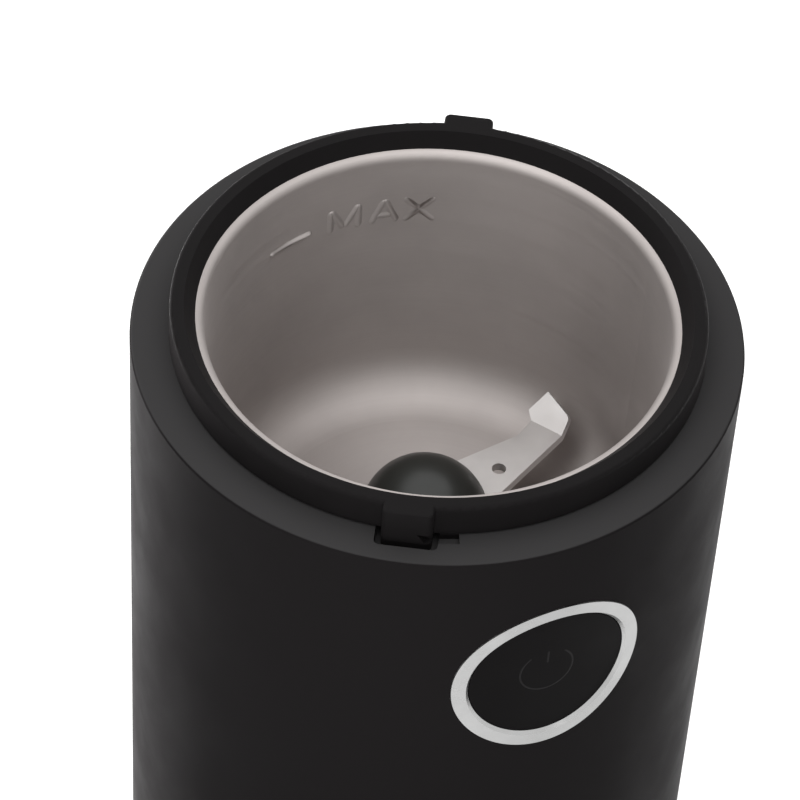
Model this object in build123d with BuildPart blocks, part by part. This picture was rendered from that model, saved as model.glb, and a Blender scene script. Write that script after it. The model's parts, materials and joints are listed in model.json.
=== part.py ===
from build123d import *
import os
from math import cos, hypot, radians, sin, tan

# Electric coffee grinder with a lift-out steel cup, a spinning blade and a mains motor.
# Millimetres. The feet stand on z = 0, Z is the axis and the power button faces -Y.
# Turns are degrees about the axis, measured from the front towards +X.

# Body shell
foot_height = 2.0
body_taper = 2.6
shoulder_width = 5.7
shell_wall = 2.2
shoulder_thickness = 3.0
shoulder_crown = 0.3
shoulder_round = 0.4
bottom_chamfer = 0.6

# Cup: black collar, skirt and floor round the steel bowl
collar_width = 3.8
collar_rise = 5.8
collar_land = 2.1
collar_round = 0.6
collar_gap = 0.35
rim_radius = 35.5
rim_drop = 2.15
rim_clearance = 0.05
lip_roll = 1.3
bowl_depth = 47.85
bowl_draft = 1.8
bowl_corner = 8.0
bowl_sheet = 0.7
skirt_wall = 1.3
skirt_depth = 11.4
skirt_inner_gap = 0.1
cup_floor_thickness = 2.8
seat_gap = 0.1
gasket_height = 0.7
gasket_ledge = 1.8

# Lugs on the collar, their notches in the shoulder and the lid slots beside them
lug_turn = -30.0
lug_width = 7.3
lug_reach = 1.7
lug_hang = 1.3
lug_corner = 0.9
lug_round = 0.4
lug_side_gap = 0.9
lug_end_gap = 1.0
lug_under_gap = 0.4
notch_corner = 0.8
ramp_width = 2.1
ramp_height = 1.6
ramp_drop = 4.0
ramp_depth = 1.2
slot_turn = 8.45
slot_width = 3.2
slot_tuck = 0.3
slot_length = 1.9
slot_depth = 0.9

# Blade, domed hub and spindle
blade_turn = 111.2
blade_rise = 4.8
blade_thickness = 1.5
blade_wall_gap = 5.9
blade_root_reach = 8.0
blade_root_left = 4.7
blade_root_right = 5.5
blade_neck_set = 4.9
blade_neck_left = 1.55
blade_bend_left = 2.35
blade_bend_right = 3.0
blade_bend_skew = 1.2
blade_tip_angle = 38.0
blade_tip_length = 5.1
blade_tip_corner = 2.95
blade_tip_heel = 1.3
blade_tip_apex = 0.3
blade_tip_left = 1.15
blade_tip_right_set = 0.2
blade_tip_round = 1.2
blade_hole_radius = 1.1
blade_hole_reach = 14.5
blade_hole_side = 1.4
hub_radius = 9.65
hub_skirt = 0.4
hub_rise = 8.1
hub_overhang = 0.8
hub_pocket_radius = 5.3
hub_pocket_depth = 5.3
spindle_radius = 3.0
spindle_tip_radius = 2.5
spindle_tip_length = 4.8
spindle_collar_radius = 4.6
spindle_collar_height = 0.9
blade_nut_radius = 5.2
blade_nut_height = 3.8
thread_clearance = 0.02

# Spindle bearing in the cup's floor
housing_flange_radius = 9.0
housing_flange_height = 1.2
housing_neck_radius = 5.6
housing_tube_radius = 6.0
housing_drop = 2.8
housing_top_gap = 0.4
housing_hole_clearance = 0.1
housing_nut_radius = 9.6
housing_nut_height = 2.6
bush_outer_radius = 4.5
bush_length = 3.4
bush_inset = 0.2
running_clearance = 0.03
seal_height = 0.9
washer_thickness = 0.5
washer_radius = 5.4
washer_gap = 0.1

# Lobed coupling between motor and cup
coupling_lobes = 6
coupling_root_radius = 5.4
coupling_tip_radius = 8.0
coupling_lobe_width = 2.6
coupling_clearance = 0.25
coupling_outer_radius = 11.0
coupling_bottom_gap = 0.8
coupling_socket_depth = 5.0
coupling_dog_gap = 0.5
coupling_bearing_gap = 0.4

# Well: the tub in the body that takes the cup and carries the motor
well_wall = 1.3
well_clearance = 0.35
well_floor_thickness = 2.0
well_flange_gap = 0.9
well_flange_thickness = 1.6
well_hole_clearance = 0.6
well_screw_turn = 15.0
well_screw_count = 4
well_screw_radius = 1.2
well_screw_depth = 2.0
well_screw_head_radius = 1.9
well_screw_head_height = 1.6
hole_clearance = 0.1

# Motor
stack_length = 20.0
stator_width = 54.0
stator_depth = 46.0
stator_corner = 7.0
bolt_edge = 4.5
bolt_radius = 1.4
bolt_hole_radius = 1.7
bolt_head_radius = 2.8
bolt_head_height = 2.4
bolt_grip = 3.6
motor_boss_radius = 4.2
motor_boss_height = 3.1
damper_thickness = 2.5
bracket_plate = 3.2
bracket_column_radius = 3.6
bracket_boss_wall = 2.0
bracket_window_width = 4.0
bracket_window_length = 16.0
bracket_window_offset = 16.5
upper_leg = 11.2
lower_leg = 19.4
motor_ground_gap = 6.0
bearing_radius = 8.0
bearing_width = 5.0
bearing_floor = 1.4
bearing_groove_inner = 4.0
bearing_groove_outer = 6.4
bearing_groove_depth = 0.4
shaft_radius = 2.5
shaft_tail = 2.2
shaft_hole_clearance = 0.9
rotor_radius = 15.0
air_gap = 0.4
rotor_slots = 12
rotor_slot_radius = 2.0
rotor_slot_set = 3.4
rotor_slot_mouth = 1.6
rotor_wire_gap = 0.2
rotor_winding_set = 1.4
rotor_winding_core = 4.6
rotor_winding_overhang = 4.6
rotor_winding_round = 1.8
pole_gap_width = 14.0
pole_gap_depth = 2.6
coil_leg = 5.7
coil_depth = 4.0
coil_set = 3.1
coil_overhang = 5.2
coil_corner = 2.5
coil_gap = 0.3
commutator_radius = 9.5
commutator_length = 9.6
commutator_gap = 0.4
commutator_bars = 12
commutator_cut_width = 0.5
commutator_cut_depth = 0.8
fan_side_gap = 3.0
fan_hub_radius = 5.0
fan_height = 4.6
fan_top_gap = 0.8
fan_disc = 1.0
fan_blades = 11
fan_blade_thickness = 1.2
fan_blade_root = 9.0

# Brushes
brush_size = 6.4
brush_length = 7.0
brush_gap = 0.08
holder_play = 0.1
holder_wall = 0.7
holder_gap = 1.1
holder_length = 13.0
holder_rest_width = 10.0
holder_rest_start = 12.5
brush_spring_wire = 0.5
brush_spring_radius = 2.2
brush_spring_turns = 5

# Power button, its ring and its switch
button_drop = 27.5
button_inset = 0.3
button_gap = 0.15
button_flange_radius = 13.5
button_flange_gap = 0.2
button_depth = 4.0
ring_outer_radius = 14.85
ring_inner_radius = 12.25
ring_bevel = 0.5
ring_seat_depth = 1.0
ring_proud = 0.2
tongue_width = 8.0
tongue_thickness = 1.1
tongue_shell_gap = 0.35
tongue_top_drop = 6.2
tongue_root_height = 5.0
spring_pocket_radius = 5.0
spring_pocket_floor = 2.1
button_spring_wire = 0.6
button_spring_radius = 3.6
button_spring_turns = 3
spring_stub_radius = 2.6
spring_stub_height = 1.2
spring_end_gap = 0.1
switch_length = 20.0
switch_height = 10.0
switch_thickness = 6.4
switch_drop = 4.6
switch_hole_spacing = 9.5
switch_hole_radius = 1.6
switch_hole_set = 3.0
switch_peg_radius = 1.5
switch_peg_tail = 1.0
switch_stand_radius = 3.0
switch_stroke_room = 2.35
plunger_radius = 1.3
plunger_clearance = 0.1
plunger_root = 1.2
plunger_bore_depth = 2.9
contact_gap = 0.05
terminal_width = 4.8
terminal_thickness = 0.8
terminal_length = 4.0
terminal_pitch = 6.5

# Lid interlock
slider_gap = 0.25
slider_side_gap = 0.2
slider_top_drop = 1.2
slider_bar_length = 21.0
slider_rod_radius = 0.9
slider_foot_thickness = 2.0
slider_foot_gap = 2.0
slider_foot_lap = 1.2
ledge_drop = 34.0
ledge_thickness = 2.0
ledge_width = 5.2
ledge_lap = 1.5
ledge_hole_clearance = 0.1
interlock_spring_wire = 0.4
interlock_spring_radius = 1.3
interlock_spring_turns = 6
interlock_set = 7.0
interlock_plunger_out = 3.0
interlock_bore_depth = 3.9
carrier_thickness = 2.2
carrier_margin = 1.0

# Base, feet, gland and mains parts
base_thickness = 2.4
base_clearance = 0.15
base_spigot_wall = 1.4
base_spigot_height = 4.6
vent_count = 16
vent_circle = 17.5
vent_length = 11.0
vent_width = 2.4
foot_set = 10.4
foot_radius = 5.5
foot_stud_radius = 2.0
foot_stud_clearance = 0.1
foot_barb_radius = 2.7
foot_barb_height = 1.2
foot_count = 4
foot_turn = 45.0
base_screw_set = 7.8
base_screw_turn = 22.5
base_screw_count = 4
base_screw_radius = 1.3
base_screw_length = 11.0
base_screw_head_radius = 3.0
base_screw_head_height = 0.9
base_boss_radius = 3.4
base_boss_height = 16.0
base_rib_width = 2.0
base_rib_clearance = 0.3
gland_height = 16.0
gland_flange_radius = 6.5
gland_neck_radius = 4.6
gland_bore_radius = 3.4
gland_stand_out = 1.6
gland_inside = 3.6
block_length = 18.0
block_depth = 9.0
block_height = 8.0
block_gap = 0.6
block_cell_count = 3
block_cell_radius = 2.0
block_cell_depth = 3.0
capacitor_length = 18.0
capacitor_depth = 7.0
capacitor_height = 12.0
capacitor_gap = 3.0
capacitor_round = 0.8
lead_radius = 0.9
lead_inset = 0.2
lead_lay_turns = (140, 110, 80, 50)
lead_lay_drop = 3.0
lead_lay_end = 2.0

# Levels, worked out from the base up
base_top = foot_height + base_thickness
lower_plate_bottom = base_top + motor_ground_gap
lower_plate_top = lower_plate_bottom + bracket_plate
stator_bottom = lower_plate_top + lower_leg
stator_top = stator_bottom + stack_length
upper_plate_bottom = stator_top + upper_leg
upper_plate_top = upper_plate_bottom + bracket_plate
damper_top = upper_plate_top + damper_thickness
well_floor_bottom = damper_top + motor_boss_height
well_floor_top = well_floor_bottom + well_floor_thickness
skirt_bottom = well_floor_top + seat_gap
cup_floor_bottom = skirt_bottom + skirt_depth
cup_floor_top = cup_floor_bottom + cup_floor_thickness
bowl_floor = cup_floor_top + bowl_sheet
rim_z = bowl_floor + bowl_depth
collar_top = rim_z + rim_drop
shoulder_z = collar_top - collar_rise
shoulder_under = shoulder_z - shoulder_thickness
notch_floor = shoulder_z - lug_hang - lug_under_gap
blade_bottom = bowl_floor + blade_rise
blade_top = blade_bottom + blade_thickness
housing_bottom = cup_floor_bottom - housing_drop
housing_top = blade_bottom - spindle_collar_height - housing_top_gap
coupling_top = housing_bottom - washer_thickness - 2 * washer_gap
coupling_bottom = skirt_bottom + coupling_bottom_gap
socket_top = coupling_bottom + coupling_socket_depth
dog_top = socket_top - coupling_dog_gap
lower_bearing_top = lower_plate_top
upper_bearing_top = upper_plate_bottom + bearing_floor + bearing_width
commutator_top = stator_bottom - rotor_winding_overhang - commutator_gap
commutator_bottom = commutator_top - commutator_length
brush_z = (commutator_top + commutator_bottom) / 2
fan_top = upper_plate_bottom - fan_top_gap
fan_bottom = fan_top - fan_height
button_z = shoulder_z - button_drop

# Radii, worked out from the bowl outwards
bowl_wall_radius = rim_radius - lip_roll
bowl_foot_radius = bowl_wall_radius - bowl_draft
blade_reach = bowl_foot_radius - blade_wall_gap
collar_radius = rim_radius + collar_width
body_top_radius = collar_radius + shoulder_width
body_bottom_radius = body_top_radius - body_taper
skirt_inner = bowl_wall_radius + bowl_sheet + skirt_inner_gap
skirt_outer = skirt_inner + skirt_wall
well_inner = skirt_outer + well_clearance
well_outer = well_inner + well_wall
lip_seat_radius = rim_radius + rim_clearance
lug_radius = collar_radius + lug_reach
slot_inner_radius = collar_radius - slot_tuck
slot_outer_radius = slot_inner_radius + slot_length
slider_thickness = slot_length - 2 * slider_gap
slider_width = slot_width - 2 * slider_side_gap
slider_mid_radius = (slot_inner_radius + slot_outer_radius) / 2
ledge_reach = slider_mid_radius + ledge_lap
interlock_switch_inner = slider_mid_radius - interlock_set

# The motor in plan, and what stands round it on the base
bore_radius = rotor_radius + air_gap
bolt_offset_x = stator_width / 2 - bolt_edge
bolt_offset_y = stator_depth / 2 - bolt_edge
coil_reach = bolt_offset_y - bracket_column_radius - coil_gap
coil_inner_width = 2 * (coil_reach - coil_leg)
coil_offset = bore_radius + coil_set
fan_radius = hypot(bolt_offset_x, bolt_offset_y) - bracket_column_radius - fan_side_gap
rotor_slot_circle = rotor_radius - rotor_slot_set
rotor_winding_radius = rotor_radius - rotor_winding_set
bracket_boss_radius = bearing_radius + bracket_boss_wall
shaft_hole_radius = shaft_radius + shaft_hole_clearance
holder_front = commutator_radius + holder_gap
stator_reach = hypot(stator_width / 2 - stator_corner, stator_depth / 2 - stator_corner) + stator_corner
base_screw_circle = body_bottom_radius - base_screw_set
foot_circle = body_bottom_radius - foot_set
block_offset = stator_depth / 2 + block_gap + block_depth / 2
capacitor_offset = stator_depth / 2 + capacitor_gap + capacitor_depth / 2


def body_radius(height):
    """Outer radius of the tapered body at a height."""
    share = (height - foot_height) / (shoulder_z - foot_height)
    return body_bottom_radius + (body_top_radius - body_bottom_radius) * share


# The well's flange and screws under the shoulder, and the leads beside the motor
well_flange_radius = body_radius(shoulder_under) - shell_wall - well_flange_gap
well_screw_circle = (well_outer + well_flange_radius) / 2
lead_lay_radius = (stator_reach + body_radius(stator_bottom) - shell_wall) / 2
lead_lay_bottom = stator_bottom - lead_lay_drop
lead_lay_step = (stator_top - lead_lay_end - lead_lay_bottom) / (len(lead_lay_turns) - 1)

# The button's tongue and its switch hang below the well, clear of the tapered wall
switch_top = well_floor_bottom - switch_drop
switch_bottom = switch_top - switch_thickness
tongue_bottom = switch_bottom
tongue_outer = body_radius(tongue_bottom) - shell_wall - tongue_shell_gap
tongue_inner = tongue_outer - tongue_thickness
plunger_tip = tongue_inner - contact_gap
switch_face = plunger_tip - switch_stroke_room
slider_turn = lug_turn + 180 + slot_turn
slider_foot_top = well_floor_bottom - slider_foot_gap
slider_foot_bottom = slider_foot_top - slider_foot_thickness
slider_top = shoulder_z - slider_top_drop
slider_bar_bottom = slider_top - slider_bar_length
ledge_top = shoulder_z - ledge_drop
interlock_tip = slider_foot_bottom - contact_gap
interlock_top = interlock_tip - interlock_plunger_out
interlock_bottom = interlock_top - switch_height
interlock_mid_radius = interlock_switch_inner + switch_thickness / 2
slider_foot_inner = interlock_mid_radius - slider_foot_lap


def level(height, turn=0.0):
    """Horizontal plane at a height, turned about the axis so that its -Y side looks that way."""
    return Plane.XY.offset(height).rotated((0, 0, turn))


def facing(turn, radius=0.0):
    """Upright plane that looks outwards: local x runs to the right seen from outside, y runs up."""
    angle = radians(turn)
    outwards = (sin(angle), -cos(angle), 0)
    return Plane(
        origin=(radius * outwards[0], radius * outwards[1], 0),
        x_dir=(cos(angle), sin(angle), 0),
        z_dir=outwards,
    )


def spot(turn, radius):
    """Plan position at a turn and a radius."""
    angle = radians(turn)
    return (radius * sin(angle), -radius * cos(angle))


def around(radius, count, turn):
    """Evenly spaced plan positions on a circle, the first at a turn from the front."""
    return PolarLocations(radius, count, start_angle=turn - 90)


def section(*points):
    """Closed section of (radius, height) points, to turn about the axis."""
    with BuildSketch(Plane.XZ) as outline:
        with BuildLine():
            Polyline(*points, close=True)
        make_face()
    return outline.sketch


def band(inner, outer, bottom, top):
    """Rectangular section of a ring."""
    return section((inner, bottom), (outer, bottom), (outer, top), (inner, top))


def wall_layer(bottom, top, deep, shallow):
    """Section of a layer of the body wall between two depths under its outer face."""
    return section(
        (body_radius(bottom) - deep, bottom),
        (body_radius(bottom) - shallow, bottom),
        (body_radius(top) - shallow, top),
        (body_radius(top) - deep, top),
    )


def wall_patch(radius, deep, shallow):
    """Round patch of the body wall at the button, between two depths under its outer face."""
    with BuildPart() as patch:
        revolve(wall_layer(button_z - 2 * radius, button_z + 2 * radius, deep, shallow), axis=Axis.Z)
        with BuildSketch(facing(0)):
            with Locations((0, button_z)):
                Circle(radius)
        extrude(amount=2 * body_top_radius, mode=Mode.INTERSECT)
    return patch.part


def coil_spring(plane, radius, wire, turns, length):
    """Open coil spring that starts on a plane and runs along its normal."""
    rise = length - wire
    first = plane.from_local_coords(Vector(0, 0, wire / 2))
    with BuildPart() as spring:
        with BuildLine() as path:
            Helix(rise / turns, rise, radius, center=first, direction=plane.z_dir)
        with BuildSketch(Plane(origin=path.line @ 0, z_dir=path.line % 0)):
            Circle(wire / 2)
        sweep(path=path.line)
    return spring.part


def ball_bearing(bottom):
    """Shielded bearing that stands at a height."""
    with BuildPart() as bearing:
        revolve(band(shaft_radius + running_clearance, bearing_radius, bottom, bottom + bearing_width),
                axis=Axis.Z)
        for low in (bottom, bottom + bearing_width - bearing_groove_depth):
            revolve(band(bearing_groove_inner, bearing_groove_outer, low, low + bearing_groove_depth),
                    axis=Axis.Z, mode=Mode.SUBTRACT)
    return bearing.part


# Body shell with its shoulder, lug notches, lid slots, button seat and screw bosses
with BuildPart() as body_shell:
    revolve(
        section(
            (body_bottom_radius, foot_height),
            (body_top_radius, shoulder_z),
            (well_inner, shoulder_z + shoulder_crown),
            (well_inner, shoulder_under),
            (body_radius(shoulder_under) - shell_wall, shoulder_under),
            (body_bottom_radius - shell_wall, foot_height),
        ),
        axis=Axis.Z,
    )
    low_rims = body_shell.edges().filter_by(GeomType.CIRCLE).group_by(Axis.Z)[0]
    chamfer(low_rims.sort_by(lambda edge: edge.radius)[-1], bottom_chamfer)
    fillet(body_shell.edges().filter_by(GeomType.CIRCLE).group_by(Axis.Z)[-2], shoulder_round)
    for lug in (lug_turn, lug_turn + 180):
        notch_reach = lug_radius + lug_end_gap
        with BuildSketch(level(notch_floor, lug)):
            with Locations((0, -(well_inner + notch_reach) / 2 + 1)):
                RectangleRounded(lug_width + 2 * lug_side_gap, notch_reach - well_inner + 2, notch_corner)
        extrude(amount=shoulder_thickness, mode=Mode.SUBTRACT)
        through = lug != lug_turn
        slot_bottom = shoulder_under - 1 if through else shoulder_z - slot_depth
        with BuildSketch(level(slot_bottom, lug + slot_turn)):
            with Locations((0, -(slot_inner_radius + slot_outer_radius) / 2)):
                Rectangle(slot_width, slot_outer_radius - slot_inner_radius)
        extrude(until=Until.LAST, mode=Mode.SUBTRACT)
    with BuildSketch(facing(0)):
        with Locations((0, button_z)):
            Circle(ring_inner_radius)
    extrude(amount=2 * body_top_radius, mode=Mode.SUBTRACT)
    add(wall_patch(ring_outer_radius, ring_seat_depth, -shell_wall), mode=Mode.SUBTRACT)
    with BuildSketch(facing(180)):
        with Locations((0, gland_height)):
            Circle(gland_neck_radius + hole_clearance)
    extrude(amount=2 * body_top_radius, mode=Mode.SUBTRACT)
    with BuildSketch(level(base_top)):
        with around(base_screw_circle, base_screw_count, base_screw_turn):
            Circle(base_boss_radius)
        rib_end = body_bottom_radius - shell_wall / 2
        with around((base_screw_circle + rib_end) / 2, base_screw_count, base_screw_turn):
            Rectangle(rib_end - base_screw_circle, base_rib_width)
    extrude(amount=base_boss_height)
    with BuildSketch(level(base_top)):
        with around(base_screw_circle, base_screw_count, base_screw_turn):
            Circle(base_screw_radius + thread_clearance)
    extrude(amount=base_screw_length, mode=Mode.SUBTRACT)
    with BuildSketch(level(shoulder_under)):
        with around(well_screw_circle, well_screw_count, well_screw_turn):
            Circle(well_screw_radius + thread_clearance)
    extrude(amount=well_screw_depth + hole_clearance, mode=Mode.SUBTRACT)

# Silver ring let into the wall round the button
with BuildPart() as button_ring:
    add(wall_patch(ring_outer_radius - rim_clearance, ring_seat_depth, -ring_proud))
    add(wall_patch(ring_inner_radius, shell_wall, -shell_wall), mode=Mode.SUBTRACT)
    ring_front = button_ring.faces().sort_by(Axis.Y)[0]
    chamfer(ring_front.inner_wires()[0].edges(), length=ring_bevel)

# Power button: cap, retaining flange and the tongue that reaches the switch
with BuildPart() as power_button:
    add(wall_patch(ring_inner_radius - button_gap, button_depth, button_inset))
    add(wall_patch(button_flange_radius, button_depth, shell_wall + button_flange_gap))
    tongue_top = button_z - tongue_top_drop
    with BuildSketch(facing(0, tongue_inner)):
        with Locations((0, (tongue_bottom + tongue_top) / 2)):
            Rectangle(tongue_width, tongue_top - tongue_bottom)
    extrude(amount=tongue_thickness)
    flange_middle = body_radius(button_z) - (button_depth + shell_wall + button_flange_gap) / 2
    with BuildSketch(facing(0, tongue_inner)):
        with Locations((0, tongue_top - tongue_root_height / 2)):
            Rectangle(tongue_width, tongue_root_height)
    extrude(amount=flange_middle - tongue_inner)
    pocket_bottom = body_radius(button_z) - spring_pocket_floor
    with BuildSketch(facing(0)):
        with Locations((0, button_z)):
            Circle(spring_pocket_radius)
    extrude(amount=pocket_bottom, mode=Mode.SUBTRACT)

# Coil spring between the well and the button
with BuildPart() as button_spring:
    spring_start = Plane(origin=(0, -well_outer - spring_end_gap, button_z), z_dir=(0, -1, 0))
    spring_room = pocket_bottom - well_outer - 2 * spring_end_gap
    add(
        coil_spring(
            spring_start, button_spring_radius, button_spring_wire, button_spring_turns, spring_room
        )
    )

# Well: tub, top flange, motor bosses, spring stub, interlock ledge and switch carriers
with BuildPart() as cup_well:
    revolve(
        section(
            (coupling_tip_radius + well_hole_clearance, well_floor_bottom),
            (well_outer, well_floor_bottom),
            (well_outer, shoulder_under - well_flange_thickness),
            (well_flange_radius, shoulder_under - well_flange_thickness),
            (well_flange_radius, shoulder_under),
            (well_inner, shoulder_under),
            (well_inner, well_floor_top),
            (coupling_tip_radius + well_hole_clearance, well_floor_top),
        ),
        axis=Axis.Z,
    )
    with BuildSketch(level(damper_top)):
        with GridLocations(2 * bolt_offset_x, 2 * bolt_offset_y, 2, 2):
            Circle(motor_boss_radius)
    extrude(amount=motor_boss_height)
    with BuildSketch(level(damper_top)):
        with GridLocations(2 * bolt_offset_x, 2 * bolt_offset_y, 2, 2):
            Circle(bolt_radius + thread_clearance)
    extrude(amount=bolt_grip + thread_clearance, mode=Mode.SUBTRACT)
    with BuildSketch(level(shoulder_under - well_flange_thickness)):
        with around(well_screw_circle, well_screw_count, well_screw_turn):
            Circle(well_screw_radius + hole_clearance)
    extrude(amount=well_flange_thickness, mode=Mode.SUBTRACT)
    with BuildSketch(facing(0, well_inner + well_wall / 2)):
        with Locations((0, button_z)):
            Circle(spring_stub_radius)
    extrude(amount=well_wall / 2 + spring_stub_height)
    with BuildSketch(level(ledge_top - ledge_thickness, slider_turn)):
        with Locations((0, -(well_inner + well_wall / 2 + ledge_reach) / 2)):
            Rectangle(ledge_width, ledge_reach - well_inner - well_wall / 2)
    extrude(amount=ledge_thickness)
    with BuildSketch(level(ledge_top - ledge_thickness, slider_turn)):
        with Locations((0, -slider_mid_radius)):
            Circle(slider_rod_radius + ledge_hole_clearance)
    extrude(amount=ledge_thickness, mode=Mode.SUBTRACT)
    with BuildSketch(level(shoulder_under - well_flange_thickness, slider_turn)):
        with Locations((0, -slider_mid_radius)):
            Rectangle(slider_width + 4 * hole_clearance, slider_thickness + 4 * hole_clearance)
    extrude(amount=well_flange_thickness, mode=Mode.SUBTRACT)
    peg_line = -(switch_face - switch_hole_set)
    with BuildSketch(level(switch_top)):
        with Locations((0, peg_line)):
            with GridLocations(switch_hole_spacing, 0, 2, 1):
                Circle(switch_stand_radius)
    extrude(amount=switch_drop)
    with BuildSketch(level(switch_bottom - switch_peg_tail)):
        with Locations((0, peg_line)):
            with GridLocations(switch_hole_spacing, 0, 2, 1):
                Circle(switch_peg_radius)
    extrude(amount=switch_thickness + switch_peg_tail)
    carrier_low = interlock_bottom - carrier_margin
    with BuildSketch(facing(slider_turn, interlock_switch_inner - carrier_thickness)):
        with Locations((0, (carrier_low + well_floor_bottom) / 2)):
            Rectangle(switch_length + 2 * carrier_margin, well_floor_bottom - carrier_low)
    extrude(amount=carrier_thickness)
    with BuildSketch(facing(slider_turn, interlock_switch_inner)):
        with Locations((0, interlock_top - switch_hole_set)):
            with GridLocations(switch_hole_spacing, 0, 2, 1):
                Circle(switch_peg_radius)
    extrude(amount=switch_thickness + switch_peg_tail)

# Screws that hold the well under the shoulder
with BuildPart() as well_screws:
    head_top = shoulder_under - well_flange_thickness
    with BuildSketch(level(head_top - well_screw_head_height)):
        with around(well_screw_circle, well_screw_count, well_screw_turn):
            Circle(well_screw_head_radius)
    extrude(amount=well_screw_head_height)
    with BuildSketch(level(head_top)):
        with around(well_screw_circle, well_screw_count, well_screw_turn):
            Circle(well_screw_radius)
    extrude(amount=well_flange_thickness + well_screw_depth)

def collar_lug(turn):
    """Lug that stands out from the collar at a turn, with a lid ramp cut into its right side."""
    lug_bottom = shoulder_z - lug_hang
    lug_root = collar_radius - collar_land / 2
    with BuildPart() as lug:
        with BuildSketch(level(lug_bottom, turn)):
            with Locations((0, -(lug_root + lug_radius) / 2)):
                plan = Rectangle(lug_width, lug_radius - lug_root)
            fillet(plan.vertices().sort_by(lambda v: hypot(v.X, v.Y))[-2:], lug_corner)
        extrude(amount=collar_top - lug_bottom)
        top_edges = lug.edges().group_by(Axis.Z)[-1]
        fillet(top_edges.sort_by(lambda edge: hypot(edge.center().X, edge.center().Y))[1:], lug_round)
        with BuildSketch(facing(turn, lug_radius - ramp_depth)):
            right = lug_width / 2
            top = collar_top - ramp_drop
            with BuildLine():
                Polyline(
                    (right + 1, top),
                    (right - ramp_width, top),
                    (right - ramp_width / 2, top - ramp_height),
                    (right + 1, top - ramp_height),
                    close=True,
                )
            make_face()
        extrude(amount=2 * ramp_depth, mode=Mode.SUBTRACT)
    return lug.part


# Cup body: collar with its funnel and two lugs, skirt and floor
with BuildPart() as cup_body:
    collar_under = shoulder_z + shoulder_crown + collar_gap
    hub_hole = housing_tube_radius + housing_hole_clearance
    ledge_z = rim_z - gasket_ledge
    revolve(
        section(
            (skirt_outer, skirt_bottom),
            (skirt_outer, collar_under),
            (collar_radius, collar_under),
            (collar_radius, collar_top),
            (collar_radius - collar_land, collar_top),
            (lip_seat_radius, rim_z),
            (lip_seat_radius, ledge_z),
            (skirt_inner, ledge_z),
            (skirt_inner, cup_floor_top),
            (hub_hole, cup_floor_top),
            (hub_hole, cup_floor_bottom),
            (skirt_inner, cup_floor_bottom),
            (skirt_inner, skirt_bottom),
        ),
        axis=Axis.Z,
    )
    top_rims = cup_body.edges().filter_by(GeomType.CIRCLE).group_by(Axis.Z)[-1]
    fillet(top_rims.sort_by(lambda edge: edge.radius)[-1], collar_round)
    for lug in (lug_turn, lug_turn + 180):
        add(collar_lug(lug))

# Steel bowl with a rolled rim
with BuildPart() as grinding_bowl:
    lip_root = rim_z - lip_roll
    with BuildSketch(Plane.XZ):
        with BuildLine():
            inside = FilletPolyline(
                (hub_hole, bowl_floor),
                (bowl_foot_radius, bowl_floor),
                (bowl_wall_radius, lip_root),
                radius=bowl_corner,
            )
            RadiusArc((bowl_wall_radius, lip_root), (rim_radius, rim_z), lip_roll)
            Line((rim_radius, rim_z), (rim_radius, rim_z - bowl_sheet))
            RadiusArc(
                (rim_radius, rim_z - bowl_sheet),
                (bowl_wall_radius + bowl_sheet, lip_root),
                -(lip_roll - bowl_sheet),
            )
            FilletPolyline(
                (bowl_wall_radius + bowl_sheet, lip_root),
                (bowl_foot_radius + bowl_sheet, cup_floor_top),
                (hub_hole, cup_floor_top),
                radius=bowl_corner + bowl_sheet,
            )
            Line((hub_hole, cup_floor_top), (hub_hole, bowl_floor))
        make_face()
    revolve(axis=Axis.Z)

# Silicone ring under the rim
with BuildPart() as bowl_gasket:
    revolve(
        band(skirt_inner + rim_clearance, lip_seat_radius - rim_clearance, ledge_z, ledge_z + gasket_height),
        axis=Axis.Z,
    )

# Brass housing that clamps the bowl to the cup floor
with BuildPart() as bearing_housing:
    revolve(
        section(
            (bush_outer_radius, housing_bottom),
            (housing_tube_radius, housing_bottom),
            (housing_tube_radius, bowl_floor),
            (housing_flange_radius, bowl_floor),
            (housing_flange_radius, bowl_floor + housing_flange_height),
            (housing_neck_radius, bowl_floor + housing_flange_height),
            (housing_neck_radius, housing_top),
            (bush_outer_radius, housing_top),
        ),
        axis=Axis.Z,
    )

# Nut under the cup floor
with BuildPart() as housing_nut:
    with BuildSketch(level(cup_floor_bottom - housing_nut_height)):
        RegularPolygon(housing_nut_radius, 6)
        Circle(housing_tube_radius + thread_clearance, mode=Mode.SUBTRACT)
    extrude(amount=housing_nut_height)

# Two sintered bushes in the housing
with BuildPart() as spindle_bushes:
    upper_bush = housing_top - seal_height - bush_length
    for low in (housing_bottom + bush_inset, upper_bush):
        bush = band(spindle_radius + running_clearance, bush_outer_radius, low, low + bush_length)
        revolve(bush, axis=Axis.Z)

# Lip seal over the upper bush
with BuildPart() as shaft_seal:
    revolve(
        band(spindle_radius + running_clearance, bush_outer_radius, housing_top - seal_height, housing_top),
        axis=Axis.Z,
    )

# Spindle with the collar that the blade sits on
with BuildPart() as spindle:
    revolve(
        section(
            (0, socket_top),
            (spindle_radius, socket_top),
            (spindle_radius, blade_bottom - spindle_collar_height),
            (spindle_collar_radius, blade_bottom - spindle_collar_height),
            (spindle_collar_radius, blade_bottom),
            (spindle_tip_radius, blade_bottom),
            (spindle_tip_radius, blade_top + spindle_tip_length),
            (0, blade_top + spindle_tip_length),
        ),
        axis=Axis.Z,
    )

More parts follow.
